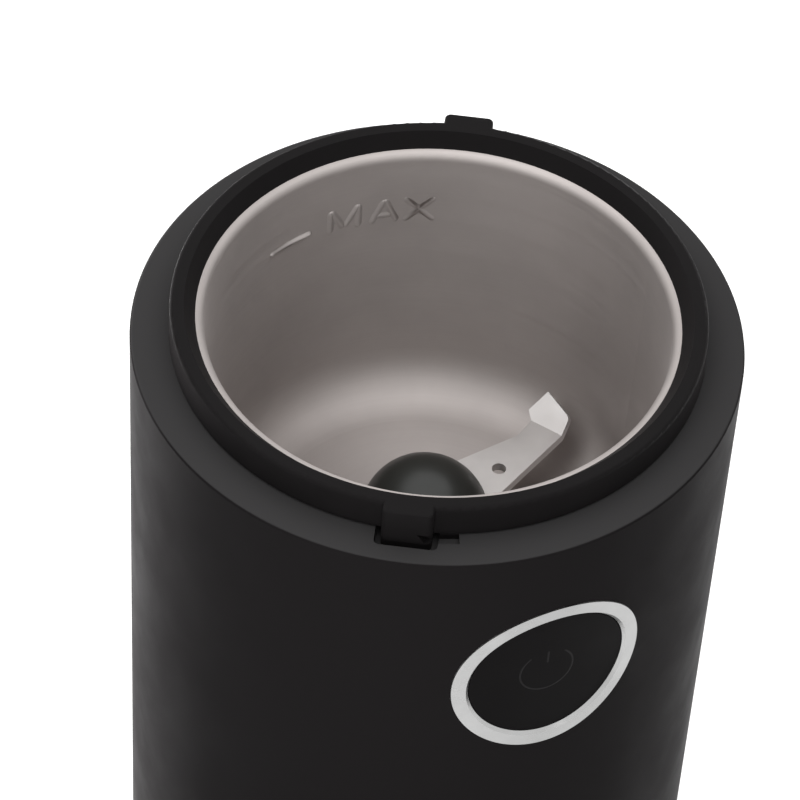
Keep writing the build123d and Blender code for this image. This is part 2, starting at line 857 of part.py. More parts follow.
# Two-armed blade with holes in its arms and turned-up tips
with BuildPart() as blade:
    tip_angle = radians(blade_tip_angle)
    mitre = blade_thickness * tan(tip_angle / 2)
    bend_left = Vector(blade_bend_left, blade_bend_skew - blade_reach, 0)
    bend_right = Vector(-blade_bend_right, -blade_reach, 0)
    bend_width = (bend_right - bend_left).length
    bend_line = (bend_right - bend_left).normalized()
    bend_out = Vector(0, 0, 1).cross(bend_line)
    rising = bend_out * cos(tip_angle) + Vector(0, 0, sin(tip_angle))
    for arm in (blade_turn, blade_turn + 180):
        with BuildSketch(level(blade_bottom, arm)):
            with BuildLine():
                Polyline(
                    (blade_root_left, 0),
                    (blade_root_left, -blade_root_reach),
                    (blade_neck_left, blade_neck_set - blade_reach),
                    bend_left,
                    bend_left + bend_out * mitre,
                    bend_right + bend_out * mitre,
                    bend_right,
                    (-blade_root_right, -blade_root_reach),
                    (-blade_root_right, 0),
                    close=True,
                )
            make_face()
            with Locations((-blade_hole_side, -blade_hole_reach)):
                Circle(blade_hole_radius, mode=Mode.SUBTRACT)
        extrude(amount=blade_thickness)
        arm_top = level(blade_top, arm)
        tip_plane = Plane(
            origin=arm_top.from_local_coords(bend_left),
            x_dir=arm_top.from_local_coords(bend_right) - arm_top.from_local_coords(bend_left),
            z_dir=arm_top.from_local_coords(bend_line.cross(rising)) - arm_top.origin,
        )
        with BuildSketch(tip_plane):
            with BuildLine():
                Polyline(
                    (0, -mitre),
                    (0, 0),
                    (-blade_tip_left, blade_tip_heel),
                    (blade_tip_apex, blade_tip_length),
                    (bend_width - blade_tip_right_set, blade_tip_corner),
                    (bend_width, 0),
                    (bend_width, -mitre),
                    close=True,
                )
            tip_face = make_face()
            toe = Vector(bend_width - blade_tip_right_set, blade_tip_corner, 0)
            fillet(tip_face.vertices().sort_by_distance(toe)[0], blade_tip_round)
        extrude(amount=-blade_thickness)
    with BuildSketch(level(blade_bottom)):
        Circle(hub_radius - hub_overhang)
    extrude(amount=blade_thickness)
    with BuildSketch(level(blade_bottom)):
        Circle(spindle_tip_radius + thread_clearance)
    extrude(amount=blade_thickness, mode=Mode.SUBTRACT)

# Nut on the spindle's thread
with BuildPart() as blade_nut:
    with BuildSketch(level(blade_top)):
        RegularPolygon(blade_nut_radius, 6)
        Circle(spindle_tip_radius + thread_clearance, mode=Mode.SUBTRACT)
    extrude(amount=blade_nut_height)

# Domed cap over the nut
with BuildPart() as blade_hub:
    with BuildSketch(Plane.XZ):
        with BuildLine():
            edge = (hub_radius, blade_top + hub_skirt)
            crown = (0, blade_top + hub_skirt + hub_rise)
            dome_radius = (hub_radius**2 + hub_rise**2) / (2 * hub_rise)
            Polyline((0, blade_top), (hub_radius, blade_top), edge)
            RadiusArc(edge, crown, -dome_radius)
            Line(crown, (0, blade_top))
        make_face()
    revolve(axis=Axis.Z)
    with BuildSketch(level(blade_top)):
        Circle(hub_pocket_radius)
    extrude(amount=hub_pocket_depth, mode=Mode.SUBTRACT)

# Washer between the housing and the coupling
with BuildPart() as thrust_washer:
    washer_bottom = coupling_top + washer_gap
    revolve(
        band(
            spindle_radius + thread_clearance, washer_radius, washer_bottom, washer_bottom + washer_thickness
        ),
        axis=Axis.Z,
    )


def lobed(spare):
    """Plan of the coupling's lobes, grown by a clearance."""
    with BuildSketch() as plan:
        Circle(coupling_root_radius + spare)
        reach = coupling_tip_radius + spare
        with PolarLocations(reach / 2, coupling_lobes):
            Rectangle(reach, coupling_lobe_width + 2 * spare)
    return plan.sketch


# Lobed socket under the cup
with BuildPart() as driven_coupling:
    revolve(band(spindle_radius, coupling_outer_radius, coupling_bottom, coupling_top), axis=Axis.Z)
    with BuildSketch(level(coupling_bottom)):
        add(lobed(coupling_clearance))
    extrude(amount=coupling_socket_depth, mode=Mode.SUBTRACT)

# Lobed dog on the motor shaft
with BuildPart() as drive_coupling:
    dog_bottom = upper_bearing_top + coupling_bearing_gap
    with BuildSketch(level(coupling_bottom)):
        add(lobed(0))
    extrude(amount=dog_top - coupling_bottom)
    with BuildSketch(level(dog_bottom)):
        Circle(coupling_root_radius)
    extrude(amount=dog_top - dog_bottom)
    with BuildSketch(level(dog_bottom)):
        Circle(shaft_radius)
    extrude(amount=dog_top - dog_bottom, mode=Mode.SUBTRACT)

# Motor shaft
with BuildPart() as motor_shaft:
    with BuildSketch(level(lower_plate_bottom - shaft_tail)):
        Circle(shaft_radius)
    extrude(amount=dog_top - lower_plate_bottom + shaft_tail)

# Slotted armature core
with BuildPart() as rotor_core:
    with BuildSketch(level(stator_bottom)):
        Circle(rotor_radius)
        with PolarLocations(rotor_slot_circle, rotor_slots):
            Circle(rotor_slot_radius, mode=Mode.SUBTRACT)
        mouth = rotor_radius + 1 - rotor_slot_circle
        with PolarLocations(rotor_slot_circle + mouth / 2, rotor_slots):
            Rectangle(mouth, rotor_slot_mouth, mode=Mode.SUBTRACT)
        Circle(shaft_radius, mode=Mode.SUBTRACT)
    extrude(amount=stack_length)

# Armature winding: wire in the slots and the bells at both ends
with BuildPart() as rotor_winding:
    for low in (stator_bottom - rotor_winding_overhang, stator_top):
        revolve(
            band(rotor_winding_core, rotor_winding_radius, low, low + rotor_winding_overhang), axis=Axis.Z
        )
    bell_edges = rotor_winding.edges().filter_by(GeomType.CIRCLE).group_by(Axis.Z)
    for rim in (bell_edges[0], bell_edges[-1]):
        fillet(rim.sort_by(lambda edge: edge.radius)[-1], rotor_winding_round)
    with BuildSketch(level(stator_bottom)):
        with PolarLocations(rotor_slot_circle, rotor_slots):
            Circle(rotor_slot_radius - rotor_wire_gap)
    extrude(amount=stack_length)

# Commutator with its bars
with BuildPart() as commutator:
    with BuildSketch(level(commutator_bottom)):
        Circle(commutator_radius)
        Circle(shaft_radius, mode=Mode.SUBTRACT)
        with PolarLocations(commutator_radius, commutator_bars):
            Rectangle(2 * commutator_cut_depth, commutator_cut_width, mode=Mode.SUBTRACT)
    extrude(amount=commutator_length)

# Cooling fan over the winding
with BuildPart() as cooling_fan:
    revolve(band(shaft_radius, fan_hub_radius, fan_bottom, fan_top), axis=Axis.Z)
    revolve(band(shaft_radius, fan_radius, fan_top - fan_disc, fan_top), axis=Axis.Z)
    with BuildSketch(level(fan_bottom)):
        with PolarLocations((fan_blade_root + fan_radius) / 2, fan_blades):
            Rectangle(fan_radius - fan_blade_root, fan_blade_thickness)
    extrude(amount=fan_height - fan_disc / 2)

# Laminated field core with its coil windows and bolt holes
with BuildPart() as stator_core:
    window_width = coil_leg + 2 * coil_gap
    window_offset = coil_inner_width / 2 + coil_leg / 2
    with BuildSketch(level(stator_bottom)):
        RectangleRounded(stator_width, stator_depth, stator_corner)
        Circle(bore_radius, mode=Mode.SUBTRACT)
        Rectangle(pole_gap_width, 2 * (bore_radius + pole_gap_depth), mode=Mode.SUBTRACT)
        with GridLocations(2 * coil_offset, 2 * window_offset, 2, 2):
            Rectangle(coil_depth + 2 * coil_gap, window_width, mode=Mode.SUBTRACT)
        with GridLocations(2 * bolt_offset_x, 2 * bolt_offset_y, 2, 2):
            Circle(bolt_hole_radius, mode=Mode.SUBTRACT)
    extrude(amount=stack_length)

# Two field coils round the poles
with BuildPart() as field_coils:
    coil_height = stack_length + 2 * coil_overhang
    for side in (-1, 1):
        with BuildSketch(Plane.YZ.offset(side * coil_offset)):
            with Locations((0, stator_bottom + stack_length / 2)):
                RectangleRounded(coil_inner_width + 2 * coil_leg, coil_height, coil_corner)
                Rectangle(coil_inner_width, stack_length + 2 * coil_gap, mode=Mode.SUBTRACT)
        extrude(amount=coil_depth / 2, both=True)


def bracket_plan():
    """Plan of an end bracket's plate, with its air windows and bolt holes."""
    with BuildSketch() as plan:
        RectangleRounded(stator_width, stator_depth, stator_corner)
        with GridLocations(2 * bracket_window_offset, 0, 2, 1):
            Rectangle(bracket_window_width, bracket_window_length, mode=Mode.SUBTRACT)
        with GridLocations(2 * bolt_offset_x, 2 * bolt_offset_y, 2, 2):
            Circle(bolt_hole_radius, mode=Mode.SUBTRACT)
    return plan.sketch


def bracket_columns():
    """Plan of the four columns between a bracket and the field core."""
    with BuildSketch() as plan:
        with GridLocations(2 * bolt_offset_x, 2 * bolt_offset_y, 2, 2):
            Circle(bracket_column_radius)
            Circle(bolt_hole_radius, mode=Mode.SUBTRACT)
    return plan.sketch


# Upper end bracket, which hangs from the well
with BuildPart() as upper_bracket:
    with BuildSketch(level(upper_plate_bottom)):
        add(bracket_plan())
    extrude(amount=bracket_plate)
    with BuildSketch(level(stator_top)):
        add(bracket_columns())
    extrude(amount=upper_leg)
    revolve(band(0, bracket_boss_radius, upper_plate_bottom, upper_bearing_top), axis=Axis.Z)
    revolve(band(0, bearing_radius, upper_plate_bottom + bearing_floor, upper_bearing_top), axis=Axis.Z,
            mode=Mode.SUBTRACT)
    upper_hole = band(0, shaft_hole_radius, upper_plate_bottom, upper_bearing_top)
    revolve(upper_hole, axis=Axis.Z, mode=Mode.SUBTRACT)

# Lower end bracket with the rests for the brush holders
with BuildPart() as lower_bracket:
    lower_boss_bottom = lower_bearing_top - bearing_width - bearing_floor
    holder_size = brush_size + 2 * (holder_play + holder_wall)
    holder_bottom = brush_z - holder_size / 2
    with BuildSketch(level(lower_plate_bottom)):
        add(bracket_plan())
    extrude(amount=bracket_plate)
    with BuildSketch(level(lower_plate_top)):
        add(bracket_columns())
    extrude(amount=lower_leg)
    revolve(band(0, bracket_boss_radius, lower_boss_bottom, lower_bearing_top), axis=Axis.Z)
    revolve(band(0, bearing_radius, lower_boss_bottom + bearing_floor, lower_bearing_top), axis=Axis.Z,
            mode=Mode.SUBTRACT)
    lower_hole = band(0, shaft_hole_radius, lower_boss_bottom, lower_bearing_top)
    revolve(lower_hole, axis=Axis.Z, mode=Mode.SUBTRACT)
    rest_length = stator_depth / 2 - holder_rest_start
    with BuildSketch(level(lower_plate_top)):
        with GridLocations(0, 2 * holder_rest_start + rest_length, 1, 2):
            Rectangle(holder_rest_width, rest_length)
    extrude(amount=holder_bottom - lower_plate_top)

# Ball bearings in the brackets
with BuildPart() as upper_bearing:
    add(ball_bearing(upper_plate_bottom + bearing_floor))
with BuildPart() as lower_bearing:
    add(ball_bearing(lower_bearing_top - bearing_width))

# Long bolts from the lower bracket up into the well
with BuildPart() as motor_bolts:
    with BuildSketch(level(lower_plate_bottom - bolt_head_height)):
        with GridLocations(2 * bolt_offset_x, 2 * bolt_offset_y, 2, 2):
            RegularPolygon(bolt_head_radius, 6)
    extrude(amount=bolt_head_height)
    with BuildSketch(level(lower_plate_bottom)):
        with GridLocations(2 * bolt_offset_x, 2 * bolt_offset_y, 2, 2):
            Circle(bolt_radius)
    extrude(amount=damper_top + bolt_grip - lower_plate_bottom)

# Rubber dampers between the upper bracket and the well
with BuildPart() as motor_dampers:
    with BuildSketch(level(upper_plate_top)):
        with GridLocations(2 * bolt_offset_x, 2 * bolt_offset_y, 2, 2):
            Circle(motor_boss_radius)
            Circle(bolt_hole_radius, mode=Mode.SUBTRACT)
    extrude(amount=damper_thickness)

# Brass tubes that guide the brushes, closed at the back
with BuildPart() as brush_holders:
    holder_back = holder_front + holder_length
    tube_room = brush_size + 2 * holder_play
    for side in (0, 180):
        with BuildSketch(facing(side, holder_front)):
            with Locations((0, brush_z)):
                Rectangle(holder_size, holder_size)
        extrude(amount=holder_length)
        with BuildSketch(facing(side, holder_front)):
            with Locations((0, brush_z)):
                Rectangle(tube_room, tube_room)
        extrude(amount=holder_length - holder_wall, mode=Mode.SUBTRACT)

# Carbon brushes against the commutator
with BuildPart() as carbon_brushes:
    brush_end = commutator_radius + brush_gap + brush_length
    for side in (0, 180):
        with BuildSketch(facing(side)):
            with Locations((0, brush_z)):
                Rectangle(brush_size, brush_size)
        extrude(amount=brush_end)
    revolve(band(0, commutator_radius + brush_gap, commutator_bottom, commutator_top), axis=Axis.Z,
            mode=Mode.SUBTRACT)

# Springs behind the brushes
with BuildPart() as brush_springs:
    spring_length = holder_back - holder_wall - brush_end - 2 * spring_end_gap
    for side in (-1, 1):
        brush_back = Plane(origin=(0, side * (brush_end + spring_end_gap), brush_z), z_dir=(0, side, 0))
        add(
            coil_spring(
                brush_back, brush_spring_radius, brush_spring_wire, brush_spring_turns, spring_length
            )
        )


def snap_switch(outer_face, bore_depth):
    """Snap switch lying on a plane: its face with the plunger bore looks along the plane's y axis."""
    with BuildPart() as switch:
        with BuildSketch(outer_face):
            with Locations((0, -switch_height / 2)):
                Rectangle(switch_length, switch_height)
            with Locations((0, -switch_hole_set)):
                with GridLocations(switch_hole_spacing, 0, 2, 1):
                    Circle(switch_hole_radius, mode=Mode.SUBTRACT)
            for column in (-1, 0, 1):
                with Locations((column * terminal_pitch, -switch_height - terminal_length / 2)):
                    Rectangle(terminal_width, terminal_length)
        extrude(amount=switch_thickness)
        keep_low = (switch_thickness - terminal_thickness) / 2
        for low, height in ((0, keep_low), (keep_low + terminal_thickness, keep_low)):
            with BuildSketch(outer_face.offset(low)):
                with Locations((0, -switch_height - terminal_length)):
                    Rectangle(switch_length, 2 * terminal_length)
            extrude(amount=height, mode=Mode.SUBTRACT)
        bore = Plane(
            origin=outer_face.from_local_coords(Vector(0, 0, switch_thickness / 2)), z_dir=-outer_face.y_dir
        )
        with BuildSketch(bore):
            Circle(plunger_radius + plunger_clearance)
        extrude(amount=bore_depth, mode=Mode.SUBTRACT)
    return switch.part


# Mains switch behind the button's tongue
with BuildPart() as power_switch:
    switch_plane = Plane(origin=(0, -switch_face, switch_bottom), x_dir=(-1, 0, 0), z_dir=(0, 0, 1))
    add(snap_switch(switch_plane, plunger_bore_depth))

# Plunger that the tongue presses
with BuildPart() as switch_plunger:
    with BuildSketch(facing(0, switch_face - plunger_root)):
        with Locations((0, (switch_top + switch_bottom) / 2)):
            Circle(plunger_radius)
    extrude(amount=plunger_tip - switch_face + plunger_root)

# Lid interlock: slider from the shoulder down to its switch
with BuildPart() as interlock_slider:
    with BuildSketch(level(slider_bar_bottom, slider_turn)):
        with Locations((0, -slider_mid_radius)):
            Rectangle(slider_width, slider_thickness)
    extrude(amount=slider_bar_length)
    with BuildSketch(level(slider_foot_bottom, slider_turn)):
        with Locations((0, -slider_mid_radius)):
            Circle(slider_rod_radius)
    extrude(amount=slider_bar_bottom - slider_foot_bottom)
    with BuildSketch(level(slider_foot_bottom, slider_turn)):
        foot_outer = slider_mid_radius + slider_rod_radius
        with Locations((0, -(slider_foot_inner + foot_outer) / 2)):
            Rectangle(slider_width, foot_outer - slider_foot_inner)
    extrude(amount=slider_foot_thickness)

# Coil spring round the slider's rod
with BuildPart() as interlock_spring:
    rod_x, rod_y = spot(slider_turn, slider_mid_radius)
    ledge_seat = Plane(origin=(rod_x, rod_y, ledge_top + spring_end_gap), z_dir=(0, 0, 1))
    seat_room = slider_bar_bottom - ledge_top - 2 * spring_end_gap
    add(
        coil_spring(
            ledge_seat, interlock_spring_radius, interlock_spring_wire, interlock_spring_turns, seat_room
        )
    )

# Interlock switch on its carrier
with BuildPart() as interlock_switch:
    carrier_face = facing(slider_turn, interlock_switch_inner)
    top_edge = carrier_face.from_local_coords(Vector(0, interlock_top, 0))
    interlock_plane = Plane(origin=top_edge, x_dir=carrier_face.x_dir, z_dir=carrier_face.z_dir)
    add(snap_switch(interlock_plane, interlock_bore_depth))

# Plunger under the slider's foot
with BuildPart() as interlock_plunger:
    with BuildSketch(level(interlock_top - plunger_root, slider_turn)):
        with Locations((0, -interlock_mid_radius)):
            Circle(plunger_radius)
    extrude(amount=interlock_plunger_out + plunger_root)

# Base cover with vents, spigot and screw recesses
with BuildPart() as base_cover:
    base_radius = body_bottom_radius - shell_wall - base_clearance
    with BuildSketch(level(foot_height)):
        Circle(base_radius)
        with PolarLocations(vent_circle, vent_count):
            SlotOverall(vent_length, vent_width, mode=Mode.SUBTRACT)
        with around(foot_circle, foot_count, foot_turn):
            Circle(foot_stud_radius + foot_stud_clearance, mode=Mode.SUBTRACT)
        with around(base_screw_circle, base_screw_count, base_screw_turn):
            Circle(base_screw_radius + 3 * hole_clearance, mode=Mode.SUBTRACT)
    extrude(amount=base_thickness)
    with BuildSketch(level(foot_height)):
        with around(base_screw_circle, base_screw_count, base_screw_turn):
            Circle(base_screw_head_radius + 2 * hole_clearance)
    extrude(amount=base_thickness / 2, mode=Mode.SUBTRACT)
    with BuildSketch(level(base_top)):
        Circle(base_radius)
        Circle(base_radius - base_spigot_wall, mode=Mode.SUBTRACT)
        with around(base_radius, base_screw_count, base_screw_turn):
            Rectangle(4 * base_spigot_wall, base_rib_width + 2 * base_rib_clearance, mode=Mode.SUBTRACT)
    extrude(amount=base_spigot_height)

# Screws through the base cover
with BuildPart() as base_screws:
    head_seat = foot_height + base_thickness / 2
    with BuildSketch(level(head_seat - base_screw_head_height)):
        with around(base_screw_circle, base_screw_count, base_screw_turn):
            Circle(base_screw_head_radius)
    extrude(amount=base_screw_head_height)
    with BuildSketch(level(head_seat)):
        with around(base_screw_circle, base_screw_count, base_screw_turn):
            Circle(base_screw_radius)
    extrude(amount=base_screw_length)

# Rubber feet plugged into the base cover
with BuildPart() as rubber_feet:
    with BuildSketch(level(0)):
        with around(foot_circle, foot_count, foot_turn):
            Circle(foot_radius)
    extrude(amount=foot_height)
    with BuildSketch(level(foot_height)):
        with around(foot_circle, foot_count, foot_turn):
            Circle(foot_stud_radius)
    extrude(amount=base_thickness + contact_gap)
    with BuildSketch(level(base_top + contact_gap)):
        with around(foot_circle, foot_count, foot_turn):
            Circle(foot_barb_radius)
    extrude(amount=foot_barb_height)

# Rubber gland for the mains lead in the rear wall
with BuildPart() as cord_gland:
    gland_outer = body_radius(gland_height) + gland_stand_out
    gland_inner = body_radius(gland_height) - shell_wall - gland_inside
    with BuildSketch(facing(180, gland_inner)):
        with Locations((0, gland_height)):
            Circle(gland_flange_radius)
    extrude(amount=gland_outer - gland_inner)
    revolve(
        wall_layer(gland_height - 2 * gland_flange_radius, gland_height + 2 * gland_flange_radius,
                   shell_wall + rim_clearance, -rim_clearance),
        axis=Axis.Z,
        mode=Mode.SUBTRACT,
    )
    with BuildSketch(facing(180, gland_inner)):
        with Locations((0, gland_height)):
            Circle(gland_neck_radius)
    extrude(amount=gland_outer - gland_inner)
    with BuildSketch(facing(180, gland_inner)):
        with Locations((0, gland_height)):
            Circle(gland_bore_radius)
    extrude(amount=gland_outer - gland_inner, mode=Mode.SUBTRACT)

# Terminal block on the base cover
with BuildPart() as terminal_block:
    with BuildSketch(level(base_top)):
        with Locations((0, block_offset)):
            Rectangle(block_length, block_depth)
    extrude(amount=block_height)
    with BuildSketch(level(base_top + block_height)):
        with Locations((0, block_offset)):
            with GridLocations(block_length / block_cell_count, 0, block_cell_count, 1):
                Circle(block_cell_radius)
    extrude(amount=-block_cell_depth, mode=Mode.SUBTRACT)

# Suppression capacitor on the base cover
with BuildPart() as suppression_capacitor:
    with BuildSketch(level(base_top)):
        with Locations((0, -capacitor_offset)):
            Rectangle(capacitor_length, capacitor_depth)
    extrude(amount=capacitor_height)
    fillet(suppression_capacitor.edges().group_by(Axis.Z)[-1], capacitor_round)

# Two leads from the terminal block round the motor to the mains switch
with BuildPart() as lead_wires:
    cell_pitch = block_length / block_cell_count
    cell_floor = base_top + block_height - block_cell_depth
    tag_under = (switch_top + switch_bottom - terminal_thickness) / 2
    tag_mid = switch_face - switch_height - terminal_length / 2
    for side in (-1, 1):
        points = [(side * cell_pitch, block_offset, cell_floor + lead_inset)]
        points.append((side * cell_pitch, block_offset + lead_radius, lead_lay_bottom - lead_lay_step))
        for step, turn in enumerate(lead_lay_turns):
            plan_x, plan_y = spot(side * turn, lead_lay_radius)
            points.append((plan_x, plan_y, lead_lay_bottom + step * lead_lay_step))
        points.append((side * terminal_pitch, -tag_mid, tag_under - lead_inset))
        with BuildLine() as route:
            Spline(*points, tangents=((0, 0, 1), (0, 0, 1)))
        with BuildSketch(Plane(origin=route.line @ 0, z_dir=route.line % 0)):
            Circle(lead_radius)
        sweep(path=route.line)

pieces = {
    "body_shell": body_shell,
    "button_ring": button_ring,
    "power_button": power_button,
    "button_spring": button_spring,
    "cup_well": cup_well,
    "well_screws": well_screws,
    "cup_body": cup_body,
    "grinding_bowl": grinding_bowl,
    "bowl_gasket": bowl_gasket,
    "bearing_housing": bearing_housing,
    "housing_nut": housing_nut,
    "spindle_bushes": spindle_bushes,
    "shaft_seal": shaft_seal,
    "spindle": spindle,
    "blade": blade,
    "blade_nut": blade_nut,
    "blade_hub": blade_hub,
    "thrust_washer": thrust_washer,
    "driven_coupling": driven_coupling,
    "drive_coupling": drive_coupling,
    "motor_shaft": motor_shaft,
    "rotor_core": rotor_core,
    "rotor_winding": rotor_winding,
    "commutator": commutator,
    "cooling_fan": cooling_fan,
    "stator_core": stator_core,
    "field_coils": field_coils,
    "upper_bracket": upper_bracket,
    "lower_bracket": lower_bracket,
    "upper_bearing": upper_bearing,
    "lower_bearing": lower_bearing,
    "motor_bolts": motor_bolts,
    "motor_dampers": motor_dampers,
    "brush_holders": brush_holders,
    "carbon_brushes": carbon_brushes,
    "brush_springs": brush_springs,
    "power_switch": power_switch,
    "switch_plunger": switch_plunger,
    "interlock_slider": interlock_slider,
    "interlock_spring": interlock_spring,
    "interlock_switch": interlock_switch,
    "interlock_plunger": interlock_plunger,
    "base_cover": base_cover,
    "base_screws": base_screws,
    "rubber_feet": rubber_feet,
    "cord_gland": cord_gland,
    "terminal_block": terminal_block,
    "suppression_capacitor": suppression_capacitor,
    "lead_wires": lead_wires,
}

os.makedirs("parts", exist_ok=True)
for name, piece in pieces.items():
    piece.part.label = name
    export_step(piece.part, f"parts/{name}.step")
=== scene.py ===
import json
import math

import bmesh
import bpy
from mathutils import Matrix, Vector
from mathutils.bvhtree import BVHTree

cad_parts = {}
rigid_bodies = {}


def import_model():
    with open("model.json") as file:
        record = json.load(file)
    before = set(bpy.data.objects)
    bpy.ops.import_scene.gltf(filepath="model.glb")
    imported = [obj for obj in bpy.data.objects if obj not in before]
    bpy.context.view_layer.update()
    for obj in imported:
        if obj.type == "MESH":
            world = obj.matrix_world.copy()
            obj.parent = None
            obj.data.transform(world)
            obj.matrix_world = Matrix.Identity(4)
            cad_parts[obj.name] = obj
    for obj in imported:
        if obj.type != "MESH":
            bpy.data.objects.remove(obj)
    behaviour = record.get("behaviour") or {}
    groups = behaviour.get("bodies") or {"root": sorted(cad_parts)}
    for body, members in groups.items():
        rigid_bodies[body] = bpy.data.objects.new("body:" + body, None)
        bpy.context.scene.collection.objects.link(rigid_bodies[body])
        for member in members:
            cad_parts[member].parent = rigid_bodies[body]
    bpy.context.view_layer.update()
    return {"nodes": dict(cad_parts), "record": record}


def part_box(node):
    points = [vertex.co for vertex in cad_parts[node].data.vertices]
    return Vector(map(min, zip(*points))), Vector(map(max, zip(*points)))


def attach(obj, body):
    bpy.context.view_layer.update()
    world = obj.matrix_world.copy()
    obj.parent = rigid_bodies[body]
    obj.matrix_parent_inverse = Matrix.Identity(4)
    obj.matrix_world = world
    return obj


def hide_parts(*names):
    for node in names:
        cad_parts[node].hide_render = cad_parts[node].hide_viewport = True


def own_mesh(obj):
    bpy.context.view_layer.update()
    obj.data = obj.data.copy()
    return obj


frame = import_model()
nodes = frame["nodes"]
scene = bpy.context.scene
scene.view_settings.view_transform = "Standard"

MM = 0.001

# Camera, in degrees, pixels and metres
CAMERA_AZIMUTH = -26.7
CAMERA_ELEVATION = 45.9
CAMERA_ROLL = 4.25
CAMERA_DISTANCE = 0.8764
FOCAL_PIXELS = 6000.0
IMAGE_PIXELS = 800.0
AXIS_PIXEL = (437.7, 336.4)
SENSOR_MM = 36.0

# Rise of the shoulder towards the collar and thickness of the bowl's sheet, in millimetres
SHOULDER_CROWN = 0.3
BOWL_SHEET = 0.7

# Heights above the bowl's floor between which its wall is a plain cone, in millimetres
WALL_RISES = (30.0, 42.0)

# Fill mark on the bowl wall, in millimetres along the wall and up from the bowl's floor
MARK_TURN = 153.3
LETTER_BASE = 34.6
LETTER_HEIGHT = 4.6
LETTER_STROKE = 1.4
LETTER_RELIEF = {"M": 0.24, "A": 0.2, "X": 0.12}
LINE_STROKE = 1.3
LINE_RELIEF = 0.42
LINE_RISE = 36.4
LINE_SPAN = (-29.6, -21.4)
LETTER_SPANS = {"M": (-18.2, -13.6), "A": (-11.6, -7.5), "X": (-6.5, -1.9)}

# Power sign on the button, in millimetres
SIGN_RADIUS = 4.15
SIGN_GAP = 36.0
SIGN_BAR = (1.5, 4.1)
SIGN_STROKE = 0.6
SIGN_RELIEF = 0.04
SIGN_MIDDLE = (-0.6, 1.2)

# How far in front of the button the search for its face starts, in millimetres
BUTTON_CLEAR = 50.0

bowl_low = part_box("grinding_bowl")[0]
button_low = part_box("power_button")[0]
ring_low, ring_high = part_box("button_ring")
shell_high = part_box("body_shell")[1]


